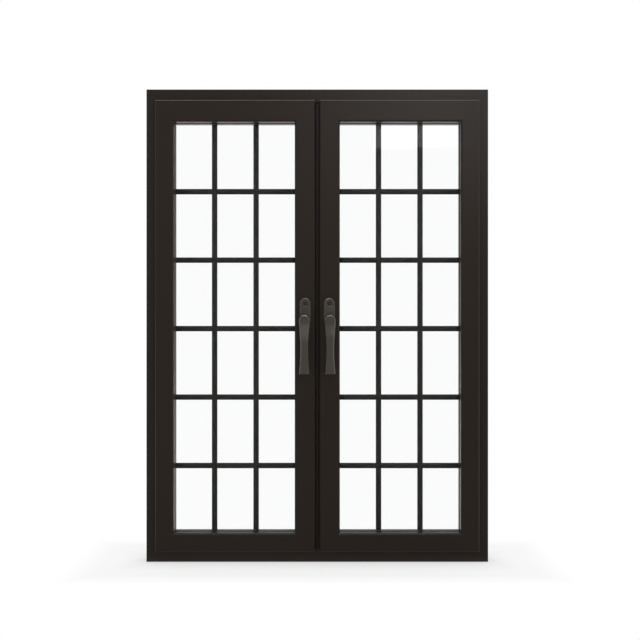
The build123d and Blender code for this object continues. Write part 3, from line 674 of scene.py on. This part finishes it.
# Studio: a pale floor that glows white, with painted shade round the door's foot where it glows
# only partly, over the real shadow; a soft box straight over the door, a small window high behind
# the camera, two strips in front and two soft boxes at the sides. What shines shows a dim room
# with a pale ceiling, lighter beyond the door.
def ramp(finish, value, start, end, low=0, high=1):
    """Go evenly from low to high while a value goes from start to end; sockets by number."""
    inputs = {0: value, 1: start, 2: end, 3: low, 4: high}
    return finish.node("ShaderNodeMapRange", {"clamp": True}, inputs)


def bounced(finish, way):
    """1 for a ray that has bounced in this way, however often, and 0 for the rest."""
    return finish.node("ShaderNodeLightPath", {}, [], way + " Depth").smaller(1)


def part_along(finish, vector, axis):
    return finish.node("ShaderNodeSeparateXYZ", {}, [vector], axis)


floor_drop = 0.0005
half_width, half_depth = cad_box[1][0], 0.05
bpy.ops.mesh.primitive_plane_add(size=24, location=(0, 0, -floor_drop))
floor = bpy.context.object
floor.name = "studio_floor"
paving = Finish(
    bpy.data.materials.new("studio_floor"),
    Base_Color=(0.93, 0.93, 0.925, 1),
    Roughness=0.9,
    Specular_IOR_Level=0.0,
)
place = paving.place()
across, along = part_along(paving, place, "X"), part_along(paving, place, "Y")
from_door = (across.size() - half_width).larger(along.size() - half_depth)
# Painted shade: at the door's foot the floor glows only half white, rising to 0.7 by 120 mm and to
# full white only past 310 mm, so a darker band lies round the door over its real shadow.
glow_share_in_painted_shadow_band = ramp(paving, from_door, start=0, end=0.12, low=0.5, high=0.7)
glow_share_past_painted_shadow_band = ramp(paving, from_door, start=0.19, end=0.31, high=0.3)
in_front = ramp(paving, along, start=0.1, end=-0.1)
dimmed = bounced(paving, "Glossy") * in_front
dimming = 0.88
white_light = {"Color": (1, 1, 1, 1), "Strength": 1 - dimmed * dimming}
glow = paving.node("ShaderNodeEmission", {}, white_light)
laid = Value(paving, paving.shader.outputs[0])
shown = (1 - bounced(paving, "Diffuse")) * (glow_share_in_painted_shadow_band + glow_share_past_painted_shadow_band).larger(dimmed)
ground = paving.node("ShaderNodeMixShader", {}, [shown, laid, glow])
paving.feed(paving.tree.nodes["Material Output"].inputs["Surface"], ground)
floor.data.materials.append(paving.owner)

world = bpy.data.worlds.new("studio")
bpy.context.scene.world = world
sky = Finish(world)
room_light = 0.66
scattered, mirrored = bounced(sky, "Diffuse"), bounced(sky, "Glossy")
direction = sky.node("ShaderNodeTexCoord", {}, [], "Generated")
outward, skyward = part_along(sky, direction, "Y"), part_along(sky, direction, "Z")
beyond_door = ramp(sky, outward, start=0.15, end=0.6, high=0.5)
ceiling = ramp(sky, skyward, start=0.12, end=0.4, low=0.08, high=0.26)
seen_light = 1 - mirrored + mirrored * ceiling.larger(beyond_door)
background = sky.tree.nodes["Background"]
background.inputs["Color"].default_value = (1, 1, 1, 1)
sky.feed(background.inputs["Strength"], scattered * room_light + (1 - scattered) * seen_light)

for name, power, width, length, spot, target in (
    ("soft_box_above", 27, 3.2, 1.3, (0, 0.05, 3.5), (0, 0.05, 0)),
    ("window_behind", 9, 1.2, 1.0, (1.1, -4.4, 3.2), (0.3, 0, 1.6)),
    ("strip_left", 5, 0.5, 2.4, (-2.8, -1.7, 1.6), (0, 0, 1.1)),
    ("strip_right", 6, 0.5, 2.4, (2.8, -1.7, 1.6), (0, 0, 1.1)),
    ("soft_box_left", 3.6, 0.4, 2.8, (-3.3, 0.1, 1.9), (0, 0.1, 1.1)),
    ("soft_box_right", 5.5, 0.4, 2.8, (3.3, 0.1, 1.9), (0, 0.1, 1.1)),
):
    lamp = bpy.data.lights.new(name, "AREA")
    lamp.shape = "RECTANGLE"
    lamp.energy, lamp.size, lamp.size_y = power, width, length
    holder = bpy.data.objects.new(name, lamp)
    holder.location = spot
    holder.rotation_euler = (Vector(target) - Vector(spot)).to_track_quat("-Z", "Y").to_euler()
    bpy.context.scene.collection.objects.link(holder)

bpy.context.scene.view_settings.view_transform = "Standard"
lens = bpy.data.cameras.new("camera")
lens.lens, lens.sensor_width = 49.34, 36
camera = bpy.data.objects.new("camera", lens)
camera.location = (0.0119, -3.885, 1.0617)
camera.rotation_euler = (math.radians(90), 0, 0)
bpy.context.scene.collection.objects.link(camera)
bpy.context.scene.camera = camera
